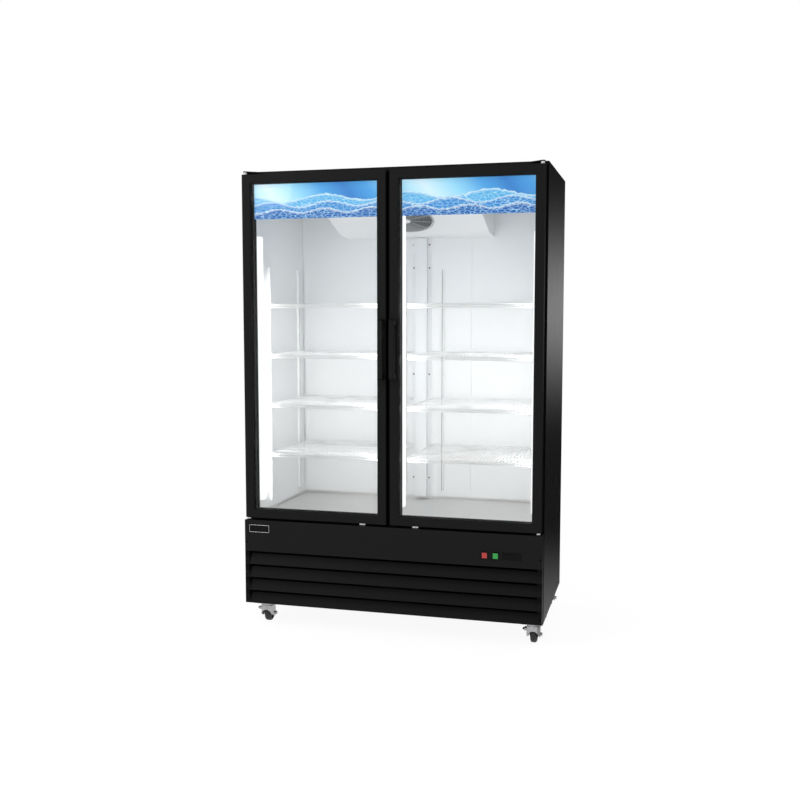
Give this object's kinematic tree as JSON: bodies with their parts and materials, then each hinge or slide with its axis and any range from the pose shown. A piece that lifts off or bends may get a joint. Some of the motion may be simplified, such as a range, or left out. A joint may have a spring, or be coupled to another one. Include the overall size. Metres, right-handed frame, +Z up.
{
  "type": "glass door merchandiser refrigerator",
  "caption": "Upright glass door merchandiser refrigerator on swivel casters, with wire shelves, overhead evaporator and louvred lower front.",
  "frame": {"origin": "on the floor, under the middle of the whole body", "axes": "+Z up, the doors face -Y, +X to the right of someone who faces the doors"},
  "size_m": [1.372, 0.775, 2.077],
  "materials": {
    "black_steel": "satin",
    "black_profile": "satin",
    "black_plastic": "satin",
    "gloss_black": "gloss",
    "white_steel": "satin",
    "white_plastic": "satin",
    "lamp_white": "satin",
    "pale_steel": "satin",
    "zinc": "satin",
    "bright_metal": "polished",
    "clear_glass": "gloss",
    "seal_rubber": "matte",
    "foam": "matte",
    "aluminium_fins": "satin",
    "grey_plastic": "satin",
    "red_plastic": "gloss",
    "green_plastic": "gloss",
    "wheel_rubber": "satin"
  },
  "bodies": {
    "cabinet": {"left_side_panel": "black_steel", "right_side_panel": "black_steel", "top_panel": "black_steel", "back_panel": "black_steel", "rear_vent_cover": "black_steel", "base_frame": "black_steel", "foam_insulation": "foam", "inner_liner": "white_steel", "floor_liner": "pale_steel", "breaker_strips": "black_plastic", "centre_mullion": "black_profile", "interior_lamps": "lamp_white", "shelf_standards": "white_steel", "shelf_clips": "zinc", "left_shelves": "white_steel", "right_shelves": "white_steel", "evaporator_cover": "white_plastic", "evaporator_fan_guard": "white_steel", "evaporator_fan_motor": "grey_plastic", "evaporator_coil": "aluminium_fins", "rear_air_duct": "white_plastic", "grille_panel": "black_steel", "switch_bezels": "black_plastic", "temperature_controller": "gloss_black", "compressor": "black_steel", "condenser_coil": "aluminium_fins", "condenser_fan_shroud": "black_steel", "condenser_fan_motor": "grey_plastic", "drain_tray": "grey_plastic", "hinge_brackets": "black_steel", "hinge_bushes": "white_plastic", "cord_gland": "black_plastic", "caster_plates": "zinc"},
    "left_door": {"left_door_frame": "black_profile", "left_door_glass": "clear_glass", "left_door_gasket": "seal_rubber", "left_door_handle": "black_plastic", "left_lock_body": "bright_metal"},
    "left_lock": {"left_lock_cylinder": "bright_metal"},
    "right_door": {"right_door_frame": "black_profile", "right_door_glass": "clear_glass", "right_door_gasket": "seal_rubber", "right_door_handle": "black_plastic", "right_lock_body": "bright_metal"},
    "right_lock": {"right_lock_cylinder": "bright_metal"},
    "red_rocker": {"red_rocker": "red_plastic"},
    "green_rocker": {"green_rocker": "green_plastic"},
    "evaporator_fan": {"evaporator_fan_blade": "grey_plastic"},
    "condenser_fan": {"condenser_fan_blade": "grey_plastic"},
    "front_left_caster": {"front_left_caster_fork": "zinc"},
    "front_left_wheel": {"front_left_caster_wheel": "wheel_rubber"},
    "left_brake": {"left_brake_lever": "black_plastic"},
    "front_right_caster": {"front_right_caster_fork": "zinc"},
    "front_right_wheel": {"front_right_caster_wheel": "wheel_rubber"},
    "right_brake": {"right_brake_lever": "black_plastic"},
    "rear_left_caster": {"rear_left_caster_fork": "zinc"},
    "rear_left_wheel": {"rear_left_caster_wheel": "wheel_rubber"},
    "rear_right_caster": {"rear_right_caster_fork": "zinc"},
    "rear_right_wheel": {"rear_right_caster_wheel": "wheel_rubber"}
  },
  "joints": [
    {"name": "left_door_swing", "type": "hinge", "parent": "cabinet", "child": "left_door", "pos_m": [-0.665, -0.3375, 0.508], "axis": [0, 0, -1], "range_deg": [0, 110], "stiffness_Nm_per_rad": 2},
    {"name": "right_door_swing", "type": "hinge", "parent": "cabinet", "child": "right_door", "pos_m": [0.665, -0.3375, 0.508], "axis": [0, 0, 1], "range_deg": [0, 110], "stiffness_Nm_per_rad": 2},
    {"name": "left_lock_turn", "type": "hinge", "parent": "left_door", "child": "left_lock", "pos_m": [-0.122, -0.3355, 0.50275], "axis": [0, -1, 0], "range_deg": [0, 90]},
    {"name": "right_lock_turn", "type": "hinge", "parent": "right_door", "child": "right_lock", "pos_m": [0.122, -0.3355, 0.50275], "axis": [0, 1, 0], "range_deg": [0, 90]},
    {"name": "red_rocker_tip", "type": "hinge", "parent": "cabinet", "child": "red_rocker", "pos_m": [0.434, -0.3445, 0.4005], "axis": [-1, 0, 0], "range_deg": [0, 16]},
    {"name": "green_rocker_tip", "type": "hinge", "parent": "cabinet", "child": "green_rocker", "pos_m": [0.482, -0.3445, 0.4005], "axis": [-1, 0, 0], "range_deg": [0, 16]},
    {"name": "evaporator_fan_spin", "type": "hinge", "parent": "cabinet", "child": "evaporator_fan", "pos_m": [-0.015, 0.0225, 1.87841], "axis": [0, -0.3338, -0.9426], "continuous": true},
    {"name": "condenser_fan_spin", "type": "hinge", "parent": "cabinet", "child": "condenser_fan", "pos_m": [-0.38, -0.1875, 0.248], "axis": [0, 1, 0], "continuous": true},
    {"name": "front_left_caster_swivel", "type": "hinge", "parent": "cabinet", "child": "front_left_caster", "pos_m": [-0.606, -0.2725, 0.086], "axis": [0, 0, 1], "continuous": true},
    {"name": "front_left_wheel_roll", "type": "hinge", "parent": "front_left_caster", "child": "front_left_wheel", "pos_m": [-0.606, -0.2505, 0.0375], "axis": [1, 0, 0], "continuous": true},
    {"name": "left_brake_press", "type": "hinge", "parent": "front_left_caster", "child": "left_brake", "pos_m": [-0.6411, -0.2665, 0.064], "axis": [0, -1, 0], "range_deg": [0, 20]},
    {"name": "front_right_caster_swivel", "type": "hinge", "parent": "cabinet", "child": "front_right_caster", "pos_m": [0.641, -0.2725, 0.086], "axis": [0, 0, 1], "continuous": true},
    {"name": "front_right_wheel_roll", "type": "hinge", "parent": "front_right_caster", "child": "front_right_wheel", "pos_m": [0.641, -0.2505, 0.0375], "axis": [1, 0, 0], "continuous": true},
    {"name": "right_brake_press", "type": "hinge", "parent": "front_right_caster", "child": "right_brake", "pos_m": [0.6059, -0.2665, 0.064], "axis": [0, -1, 0], "range_deg": [0, 20]},
    {"name": "rear_left_caster_swivel", "type": "hinge", "parent": "cabinet", "child": "rear_left_caster", "pos_m": [-0.606, 0.3105, 0.086], "axis": [0, 0, 1], "continuous": true},
    {"name": "rear_left_wheel_roll", "type": "hinge", "parent": "rear_left_caster", "child": "rear_left_wheel", "pos_m": [-0.606, 0.3325, 0.0375], "axis": [1, 0, 0], "continuous": true},
    {"name": "rear_right_caster_swivel", "type": "hinge", "parent": "cabinet", "child": "rear_right_caster", "pos_m": [0.641, 0.3105, 0.086], "axis": [0, 0, 1], "continuous": true},
    {"name": "rear_right_wheel_roll", "type": "hinge", "parent": "rear_right_caster", "child": "rear_right_wheel", "pos_m": [0.641, 0.3325, 0.0375], "axis": [1, 0, 0], "continuous": true}
  ]
}
